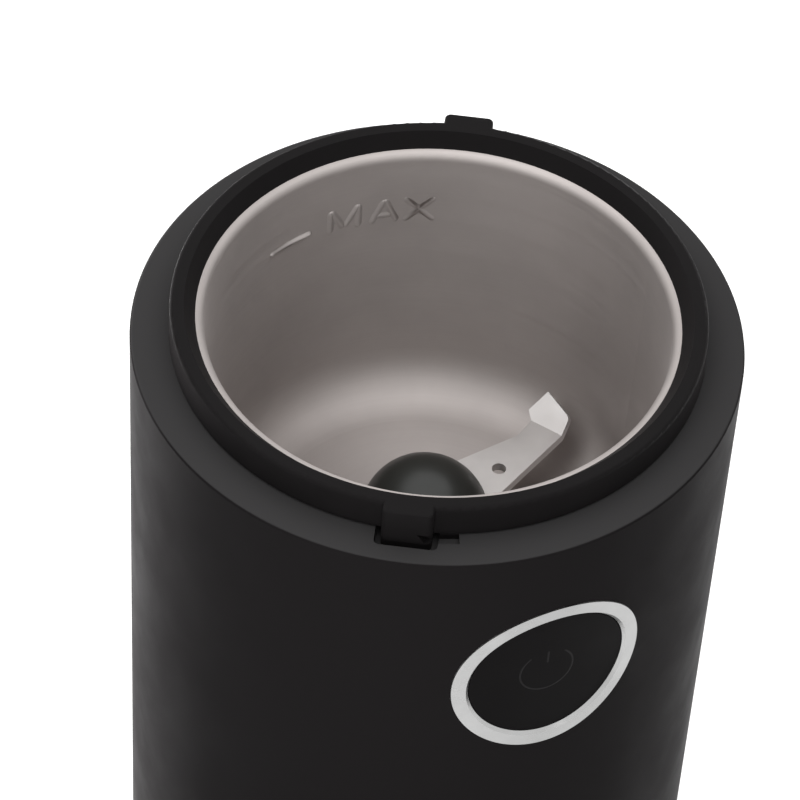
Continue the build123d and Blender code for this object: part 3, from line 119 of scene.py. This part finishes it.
class Shader:
    """Node material with one principled shader and short calls for the nodes that feed it."""

    def __init__(self, name, color, roughness, metallic=0.0, specular=0.5):
        self.material = bpy.data.materials.new(name)
        self.material.use_nodes = True
        self.tree = self.material.node_tree
        self.surface = self.tree.nodes["Principled BSDF"]
        self.set("Base Color", (*color, 1.0))
        self.set("Roughness", roughness)
        self.set("Metallic", metallic)
        self.set("Specular IOR Level", specular)
        self.place = self.tree.nodes.new("ShaderNodeTexCoord").outputs["Object"]

    def set(self, socket, value):
        self.surface.inputs[socket].default_value = value

    def link(self, output, target):
        self.tree.links.new(output, target)

    def rings(self, pitch, wander):
        """Coordinates that change quickly with radius and height and slowly around the axis."""
        parts = self.tree.nodes.new("ShaderNodeSeparateXYZ")
        self.link(self.place, parts.inputs["Vector"])
        flat = self.tree.nodes.new("ShaderNodeCombineXYZ")
        self.link(parts.outputs["X"], flat.inputs["X"])
        self.link(parts.outputs["Y"], flat.inputs["Y"])
        radius = self.tree.nodes.new("ShaderNodeVectorMath")
        radius.operation = "LENGTH"
        self.link(flat.outputs["Vector"], radius.inputs[0])
        joined = self.tree.nodes.new("ShaderNodeMath")
        joined.operation = "ADD"
        self.link(radius.outputs["Value"], joined.inputs[0])
        self.link(parts.outputs["Z"], joined.inputs[1])
        packed = self.tree.nodes.new("ShaderNodeCombineXYZ")
        self.link(parts.outputs["X"], packed.inputs["X"])
        self.link(parts.outputs["Y"], packed.inputs["Y"])
        self.link(joined.outputs["Value"], packed.inputs["Z"])
        node = self.tree.nodes.new("ShaderNodeMapping")
        node.inputs["Scale"].default_value = (1 / wander, 1 / wander, 1 / pitch)
        self.link(packed.outputs["Vector"], node.inputs["Vector"])
        return node.outputs["Vector"]

    def noise(self, vector, scale=1.0, detail=2.0, rough=0.5):
        node = self.tree.nodes.new("ShaderNodeTexNoise")
        node.inputs["Scale"].default_value = scale
        node.inputs["Detail"].default_value = detail
        node.inputs["Roughness"].default_value = rough
        self.link(vector, node.inputs["Vector"])
        return node.outputs["Fac"]

    def bands(self, scale, axis="Z"):
        node = self.tree.nodes.new("ShaderNodeTexWave")
        node.bands_direction = axis
        node.inputs["Scale"].default_value = scale
        self.link(self.place, node.inputs["Vector"])
        return node.outputs["Fac"]

    def spread(self, factor, socket, low, high, start=0.35, end=0.65):
        """A factor remapped to a range of values for a socket."""
        node = self.tree.nodes.new("ShaderNodeMapRange")
        node.inputs["From Min"].default_value = start
        node.inputs["From Max"].default_value = end
        node.inputs["To Min"].default_value = low
        node.inputs["To Max"].default_value = high
        self.link(factor, node.inputs["Value"])
        self.link(node.outputs["Result"], self.surface.inputs[socket])

    def tint(self, factor, dark, light, start=0.3, end=0.7):
        """Two colours mixed by a factor."""
        node = self.tree.nodes.new("ShaderNodeValToRGB")
        node.color_ramp.elements[0].position = start
        node.color_ramp.elements[0].color = (*dark, 1.0)
        node.color_ramp.elements[1].position = end
        node.color_ramp.elements[1].color = (*light, 1.0)
        self.link(factor, node.inputs["Fac"])
        self.link(node.outputs["Color"], self.surface.inputs["Base Color"])

    def bump(self, *layers):
        """Stacked bumps, each a (factor, depth in metres)."""
        last = None
        for factor, depth in layers:
            node = self.tree.nodes.new("ShaderNodeBump")
            node.inputs["Strength"].default_value = 1.0
            node.inputs["Distance"].default_value = depth
            self.link(factor, node.inputs["Height"])
            if last:
                self.link(last, node.inputs["Normal"])
            last = node.outputs["Normal"]
        self.link(last, self.surface.inputs["Normal"])

    def facing_up(self, low, high):
        """Zero on walls and one on level faces, between two values of the normal's rise."""
        normal = self.tree.nodes.new("ShaderNodeTexCoord").outputs["Normal"]
        parts = self.tree.nodes.new("ShaderNodeSeparateXYZ")
        self.link(normal, parts.inputs["Vector"])
        node = self.tree.nodes.new("ShaderNodeMapRange")
        node.inputs["From Min"].default_value = low
        node.inputs["From Max"].default_value = high
        self.link(parts.outputs["Z"], node.inputs["Value"])
        return node.outputs["Result"]

    def plus_share(self, one, two, share):
        """One factor plus a share of another."""
        node = self.tree.nodes.new("ShaderNodeMath")
        node.operation = "MULTIPLY_ADD"
        node.inputs[1].default_value = share
        self.link(two, node.inputs[0])
        self.link(one, node.inputs[2])
        return node.outputs["Value"]


def shade(color, share):
    """A colour made darker or lighter."""
    return tuple(min(1.0, c * share) for c in color)


def grained(made, roughness, scale, depth):
    """Fine grain and uneven gloss on a shader; gives back the broad noise behind the gloss."""
    fine = made.noise(made.place, scale, 3.0, 0.6)
    broad = made.noise(made.place, 70.0, 4.0, 0.6)
    made.bump((fine, depth))
    made.spread(broad, "Roughness", roughness - 0.05, roughness + 0.06)
    return broad


def moulded(name, color, roughness, specular, grain, depth):
    """Moulded plastic or coating: grain of a pitch and depth in metres, uneven gloss and faint clouding."""
    made = Shader(name, color, roughness, specular=specular)
    broad = grained(made, roughness, 1 / grain, depth)
    made.tint(broad, shade(color, 0.9), shade(color, 1.1))
    return made.material


def body_with_painted_top_sheen(name, side, shoulder, roughness, specular):
    """Satin coat on the sides; faces that look up, the shoulder among them, are mixed towards a lighter
    colour, a painted sheen for the light they catch from above.
    """
    made = Shader(name, side, roughness, specular=specular)
    broad = grained(made, roughness, 2800.0, 0.000008)
    # Painted sheen: the normal's rise mixes upward faces towards the lighter colour
    level = made.facing_up(0.75, 0.98)
    made.tint(made.plus_share(level, broad, 0.04), shade(side, 0.97), shoulder, 0.0, 1.0)
    return made.material


def turned_metal(name, color, roughness, pitch=0.00022, wander=0.012, depth=0.000004, sway=0.08):
    """Metal with fine lines around the axis, of a pitch and depth in metres, and slow changes of gloss."""
    made = Shader(name, color, roughness, metallic=1.0)
    lines = made.noise(made.rings(pitch, wander), 1.0, 3.0, 0.6)
    broad = made.noise(made.place, 55.0, 4.0, 0.55)
    made.bump((lines, depth))
    made.spread(lines, "Roughness", roughness - sway, roughness + sway)
    made.tint(broad, shade(color, 0.93), shade(color, 1.05))
    around = made.tree.nodes.new("ShaderNodeTangent")
    around.direction_type = "RADIAL"
    around.axis = "Z"
    made.link(around.outputs["Tangent"], made.surface.inputs["Tangent"])
    made.set("Anisotropic", 0.75)
    made.set("Anisotropic Rotation", 0.25)
    return made.material


def plain_metal(name, color, roughness, grain=0.0004, depth=0.000006):
    """Metal with a fine even grain, as left by tumbling, casting or plating."""
    made = Shader(name, color, roughness, metallic=1.0)
    fine = made.noise(made.place, 1 / grain, 3.0, 0.6)
    broad = made.noise(made.place, 120.0, 3.0, 0.6)
    made.bump((fine, depth))
    made.spread(broad, "Roughness", roughness - 0.06, roughness + 0.08)
    made.tint(broad, shade(color, 0.88), shade(color, 1.06))
    return made.material


def stacked_sheets(name, color):
    """Pressed sheets seen on their edges."""
    made = Shader(name, color, 0.5, metallic=1.0)
    sheets = made.bands(320.0)
    fine = made.noise(made.place, 900.0, 3.0, 0.6)
    made.bump((sheets, 0.00005), (fine, 0.00001))
    made.tint(sheets, shade(color, 0.6), shade(color, 1.1))
    made.spread(fine, "Roughness", 0.42, 0.6)
    return made.material


def wound_wire(name, color):
    """Rows of enamelled wire."""
    made = Shader(name, color, 0.32, metallic=1.0)
    rows = made.bands(420.0, "DIAGONAL")
    broad = made.noise(made.place, 160.0, 3.0, 0.5)
    made.bump((rows, 0.00012))
    made.tint(rows, shade(color, 0.45), shade(color, 1.15), 0.1, 0.8)
    made.spread(broad, "Roughness", 0.26, 0.4)
    return made.material


def record_color(slot):
    """Colour that the record gives a slot."""
    for entry in frame["record"]["materials"]:
        if entry["slot"] == slot:
            return tuple(entry["base_color"][:3])
    raise KeyError(slot)


finishes = {
    # The second colour of body_black is a painted sheen on faces that look up
    "body_black": body_with_painted_top_sheen("body_black", (0.0202, 0.0182, 0.0189), (0.072, 0.07, 0.071), 0.44, 0.012),
    "collar_black": moulded("collar_black", (0.0145, 0.0132, 0.0136), 0.48, 0.05, 0.0005, 0.00001),
    "button_black": moulded("button_black", (0.0088, 0.008, 0.0083), 0.5, 0.03, 0.0003, 0.000006),
    "hub_black": moulded("hub_black", (0.014, 0.0155, 0.0135), 0.36, 0.4, 0.0006, 0.000008),
    "inner_black": moulded("inner_black", (0.014, 0.014, 0.015), 0.55, 0.35, 0.0004, 0.00002),
    "bowl_steel": turned_metal("bowl_steel", (0.43, 0.396, 0.383), 0.52, 0.0004, 0.05, 0.0000006, 0.02),
    "ring_silver": plain_metal("ring_silver", (0.505, 0.505, 0.502), 0.3, 0.0003, 0.000004),
    "blade_steel": plain_metal("blade_steel", (0.62, 0.6, 0.59), 0.6, 0.0005, 0.000008),
}


def from_record(make, slots):
    """Finishes in the record's colours, each from its slot and the values that follow the colour."""
    for slot, values in slots.items():
        finishes[slot] = make(slot, record_color(slot), *values)


from_record(turned_metal, {"shaft_steel": (0.25,), "brass": (0.3,)})
from_record(plain_metal, {
    "zinc_steel": (0.35,),
    "spring_steel": (0.3,),
    "bronze": (0.5, 0.0003, 0.00002),
    "bracket_aluminium": (0.45, 0.0006, 0.00003),
})
from_record(stacked_sheets, {"laminations": ()})
from_record(wound_wire, {"copper": ()})
from_record(moulded, {
    "nylon": (0.45, 0.5, 0.0006, 0.00001),
    "carbon": (0.6, 0.4, 0.0003, 0.00002),
    "switch_plastic": (0.45, 0.5, 0.0005, 0.00001),
    "plunger_plastic": (0.4, 0.5, 0.0005, 0.00001),
    "capacitor_plastic": (0.35, 0.5, 0.0008, 0.00001),
    "lead_plastic": (0.4, 0.5, 0.0008, 0.00001),
    "seal_rubber": (0.6, 0.3, 0.0004, 0.00002),
    "foot_rubber": (0.7, 0.3, 0.0004, 0.00003),
})

for part in frame["record"]["subparts"]:
    node = nodes[part["node"]]
    node.data.materials.clear()
    node.data.materials.append(finishes[part["material_slot"]])


def shortening_spring(joint, spring):
    """Copy of a CAD spring, carried by its joint's parent in place of the hidden CAD node."""
    node = spring["node"]
    letter = spring["mode"][-1]
    axis = "xyz".index(letter)
    anchor = Vector()
    anchor[axis] = spring[f"fixed_end_{letter}_m"]
    direction = Vector()
    direction[axis] = 1.0
    coil = bpy.data.objects.new(node + "_coil", nodes[node].data.copy())
    scene.collection.objects.link(coil)
    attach(coil, joint["parent"])
    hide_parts(node)
    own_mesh(coil)


for joint in frame["record"]["behaviour"]["joints"]:
    for spring in joint.get("deforming_nodes", []):
        shortening_spring(joint, spring)


def surface_of(node):
    """Search tree over the faces of a CAD node."""
    mesh = nodes[node].data
    return BVHTree.FromPolygons([v.co for v in mesh.vertices], [tuple(p.vertices) for p in mesh.polygons])


def surface_hit(surface, start, direction):
    """Where a ray from a point first meets a surface, in metres."""
    return surface.ray_cast(Vector(start), Vector(direction))[0]


def ridge(builder, path, width, relief, place):
    """Soft bead with rounded ends along a flat path in millimetres, laid on by place(along, up, height)."""
    steps = 8
    sunk = 0.02
    points = [Vector(p) for p in path]
    runs = [(b - a).length for a, b in zip(points, points[1:])]
    length = sum(runs)
    done = 0.0
    rows = []
    for i, point in enumerate(points):
        run = (points[min(i + 1, len(points) - 1)] - points[max(i - 1, 0)]).normalized()
        side = Vector((-run.y, run.x))
        inside = min(1.0, min(done, length - done) / (width / 2))
        share = math.sqrt(max(0.0, 1 - (1 - inside) ** 2))
        row = []
        for k in range(steps + 1):
            across = 1 - 2 * k / steps
            spot = point + side * (across * share * width / 2)
            height = relief * share * (1 + math.cos(math.pi * across)) / 2 - sunk
            row.append(builder.verts.new(place(spot.x, spot.y, height)))
        rows.append(row)
        if i < len(runs):
            done += runs[i]
    for one, two in zip(rows, rows[1:]):
        for k in range(steps):
            builder.faces.new((one[k], one[k + 1], two[k + 1], two[k]))


def finish_piece(builder, name, body, finish):
    """Mesh object from a builder, smooth, with its finish, riding on a body."""
    bmesh.ops.recalc_face_normals(builder, faces=builder.faces[:])
    mesh = bpy.data.meshes.new(name)
    builder.to_mesh(mesh)
    builder.free()
    for polygon in mesh.polygons:
        polygon.use_smooth = True
    piece = bpy.data.objects.new(name, mesh)
    scene.collection.objects.link(piece)
    mesh.materials.append(finish)
    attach(piece, body)


def straight(start, end, count=24):
    """Points along a line, closer together at its ends."""
    a, b = Vector(start), Vector(end)
    near_end = 0.004
    shares = [(1 - math.cos(math.pi * i / count)) / 2 for i in range(1, count)]
    return [tuple(a + (b - a) * t) for t in (near_end, *shares, 1 - near_end)]


# Raised fill line and the word MAX on the bowl wall
floor_z = bowl_low.z + BOWL_SHEET * MM
bowl_surface = surface_of("grinding_bowl")
wall_low, wall_high = (
    surface_hit(bowl_surface, (0, 0, floor_z + rise * MM), (0, 1, 0)) for rise in WALL_RISES
)
wall_slope = (wall_high.y - wall_low.y) / ((WALL_RISES[1] - WALL_RISES[0]) * MM)


def on_wall(along, up, height):
    """Point on the bowl's inner wall: millimetres along the arc and above the floor."""
    radius = wall_low.y + (up - WALL_RISES[0]) * MM * wall_slope
    turn = math.radians(MARK_TURN) - along * MM / radius
    reach = radius - height * MM
    return Vector((reach * math.sin(turn), -reach * math.cos(turn), floor_z + up * MM))


strokes = {
    "M": [((0, 0), (0, 1)), ((0, 1), (0.5, 0.12)), ((0.5, 0.12), (1, 1)), ((1, 1), (1, 0))],
    "A": [((0, 0), (0.5, 1)), ((0.5, 1), (1, 0)), ((0.2, 0.32), (0.8, 0.32))],
    "X": [((0, 0), (1, 1)), ((0, 1), (1, 0))],
}
builder = bmesh.new()
line = straight((LINE_SPAN[0], LINE_RISE), (LINE_SPAN[1], LINE_RISE))
ridge(builder, line, LINE_STROKE, LINE_RELIEF, on_wall)
for letter, (left, right) in LETTER_SPANS.items():
    for start, end in strokes[letter]:
        ends = [(left + (right - left) * x, LETTER_BASE + LETTER_HEIGHT * y) for x, y in (start, end)]
        ridge(builder, straight(*ends), LETTER_STROKE, LETTER_RELIEF[letter], on_wall)
finish_piece(builder, "fill_mark", "cup", finishes["bowl_steel"])

# Power sign in the middle of the button
button_z = (ring_low.z + ring_high.z) / 2
button_surface = surface_of("power_button")


def on_button(along, up, height):
    """Point on the button's face: millimetres to the right of and above the sign's middle."""
    x = (along + SIGN_MIDDLE[0]) * MM
    z = button_z + (up + SIGN_MIDDLE[1]) * MM
    face = surface_hit(button_surface, (x, button_low.y - BUTTON_CLEAR * MM, z), (0, 1, 0))
    return face - Vector((0, height * MM, 0))


builder = bmesh.new()
arc_steps = 60
first = math.radians(90 + SIGN_GAP)
sweep = math.radians(360 - 2 * SIGN_GAP)
arc = []
for i in range(arc_steps + 1):
    angle = first + sweep * i / arc_steps
    arc.append((SIGN_RADIUS * math.cos(angle), SIGN_RADIUS * math.sin(angle)))
ridge(builder, arc, SIGN_STROKE, SIGN_RELIEF, on_button)
ridge(builder, straight((0, SIGN_BAR[0]), (0, SIGN_BAR[1])), SIGN_STROKE, SIGN_RELIEF, on_button)
sign_finish = moulded("power_sign", (0.0112, 0.0102, 0.0105), 0.44, 0.08, 0.0003, 0.000004)
finish_piece(builder, "power_sign", "button", sign_finish)

# Floor, light and camera
FLOOR_SIZE = 8.0
floor_mesh = bpy.data.meshes.new("floor")
half = FLOOR_SIZE / 2
corners = [(-half, -half, 0), (half, -half, 0), (half, half, 0), (-half, half, 0)]
floor_mesh.from_pydata(corners, [], [(0, 1, 2, 3)])
floor = bpy.data.objects.new("floor", floor_mesh)
scene.collection.objects.link(floor)


def seen_rays(tree):
    """One where a ray comes from the camera, a gloss or a see-through surface, and zero for the rest."""
    path = tree.nodes.new("ShaderNodeLightPath")
    total = path.outputs["Is Camera Ray"]
    for name in ("Is Glossy Ray", "Is Transmission Ray"):
        node = tree.nodes.new("ShaderNodeMath")
        node.operation = "MAXIMUM"
        tree.links.new(total, node.inputs[0])
        tree.links.new(path.outputs[name], node.inputs[1])
        total = node.outputs["Value"]
    return total


# Glow of the floor, its grey where it is seen and its grey where it lights the grinder
FLOOR_GLOW = 0.7
FLOOR_SEEN = 0.5
FLOOR_BOUNCE = 0.12
paper = bpy.data.materials.new("studio_floor")
paper.use_nodes = True
tree = paper.node_tree
surface = tree.nodes["Principled BSDF"]
surface.inputs["Roughness"].default_value = 0.9
surface.inputs["Specular IOR Level"].default_value = 0.0
surface.inputs["Emission Color"].default_value = (1.0, 1.0, 1.0, 1.0)
glow = tree.nodes.new("ShaderNodeMath")
glow.operation = "MULTIPLY"
glow.inputs[1].default_value = FLOOR_GLOW
seen = seen_rays(tree)
tree.links.new(seen, glow.inputs[0])
tree.links.new(glow.outputs["Value"], surface.inputs["Emission Strength"])
grey = tree.nodes.new("ShaderNodeMapRange")
grey.inputs["To Min"].default_value = FLOOR_BOUNCE
grey.inputs["To Max"].default_value = FLOOR_SEEN
tree.links.new(seen, grey.inputs["Value"])
tree.links.new(grey.outputs["Result"], surface.inputs["Base Color"])
floor_mesh.materials.append(paper)

WORLD_FILL = 0.02
world = bpy.data.worlds.new("studio")
world.use_nodes = True
scene.world = world
tree = world.node_tree
sky = tree.nodes["Background"]
sky.inputs["Color"].default_value = (1.0, 1.0, 1.0, 1.0)
fill = tree.nodes.new("ShaderNodeMapRange")
fill.inputs["To Min"].default_value = WORLD_FILL
fill.inputs["To Max"].default_value = 1.0
tree.links.new(seen_rays(tree), fill.inputs["Value"])
tree.links.new(fill.outputs["Result"], sky.inputs["Strength"])


def heading(azimuth, elevation):
    """Unit vector from the grinder towards an azimuth and an elevation in degrees."""
    turn = math.radians(azimuth)
    rise = math.radians(elevation)
    return Vector((math.sin(turn) * math.cos(rise), -math.cos(turn) * math.cos(rise), math.sin(rise)))


def softbox(name, azimuth, elevation, distance, width, height, power, mirrored=True):
    """Rectangular lamp that looks at the top of the grinder, shown by glossy faces if it is mirrored."""
    lamp = bpy.data.lights.new(name, "AREA")
    lamp.shape = "RECTANGLE"
    lamp.size = width
    lamp.size_y = height
    lamp.energy = power
    holder = bpy.data.objects.new(name, lamp)
    holder.visible_glossy = mirrored
    scene.collection.objects.link(holder)
    away = heading(azimuth, elevation)
    holder.location = Vector((0, 0, shell_high.z)) + away * distance
    holder.rotation_euler = away.to_track_quat("Z", "Y").to_euler()


# Azimuth and elevation in degrees, distance, width and height in metres, power in watts
softbox("lamp_top", CAMERA_AZIMUTH - 100, 86, 1.6, 3.2, 3.2, 34.0)
softbox("lamp_key", CAMERA_AZIMUTH - 20, 50, 1.6, 1.6, 1.6, 2.0)
softbox("lamp_left", CAMERA_AZIMUTH - 131, -4, 0.5, 0.14, 0.15, 6.2, mirrored=False)
softbox("lamp_right", CAMERA_AZIMUTH + 135, -4, 0.5, 0.3, 0.15, 1.5, mirrored=False)
softbox("lamp_front", CAMERA_AZIMUTH - 4, -2, 0.2, 0.08, 0.08, 0.11, mirrored=False)

turn = math.radians(CAMERA_AZIMUTH)
roll = math.radians(CAMERA_ROLL)
back = heading(CAMERA_AZIMUTH, CAMERA_ELEVATION)
level_right = Vector((math.cos(turn), math.sin(turn), 0))
level_up = back.cross(level_right)
right = level_right * math.cos(roll) + level_up * math.sin(roll)
up = level_up * math.cos(roll) - level_right * math.sin(roll)
aim = Vector((0, 0, shell_high.z - SHOULDER_CROWN * MM))
eye = aim + back * CAMERA_DISTANCE
offset_right = (AXIS_PIXEL[0] - IMAGE_PIXELS / 2) / FOCAL_PIXELS
offset_up = (IMAGE_PIXELS / 2 - AXIS_PIXEL[1]) / FOCAL_PIXELS
back = (back + right * offset_right + up * offset_up).normalized()
right = (right - back * right.dot(back)).normalized()
up = back.cross(right)
lens = bpy.data.cameras.new("camera")
lens.sensor_width = SENSOR_MM
lens.lens = SENSOR_MM * FOCAL_PIXELS / IMAGE_PIXELS
camera = bpy.data.objects.new("camera", lens)
scene.collection.objects.link(camera)
camera.matrix_world = Matrix((
    (right.x, up.x, back.x, eye.x),
    (right.y, up.y, back.y, eye.y),
    (right.z, up.z, back.z, eye.z),
    (0, 0, 0, 1),
))
scene.camera = camera
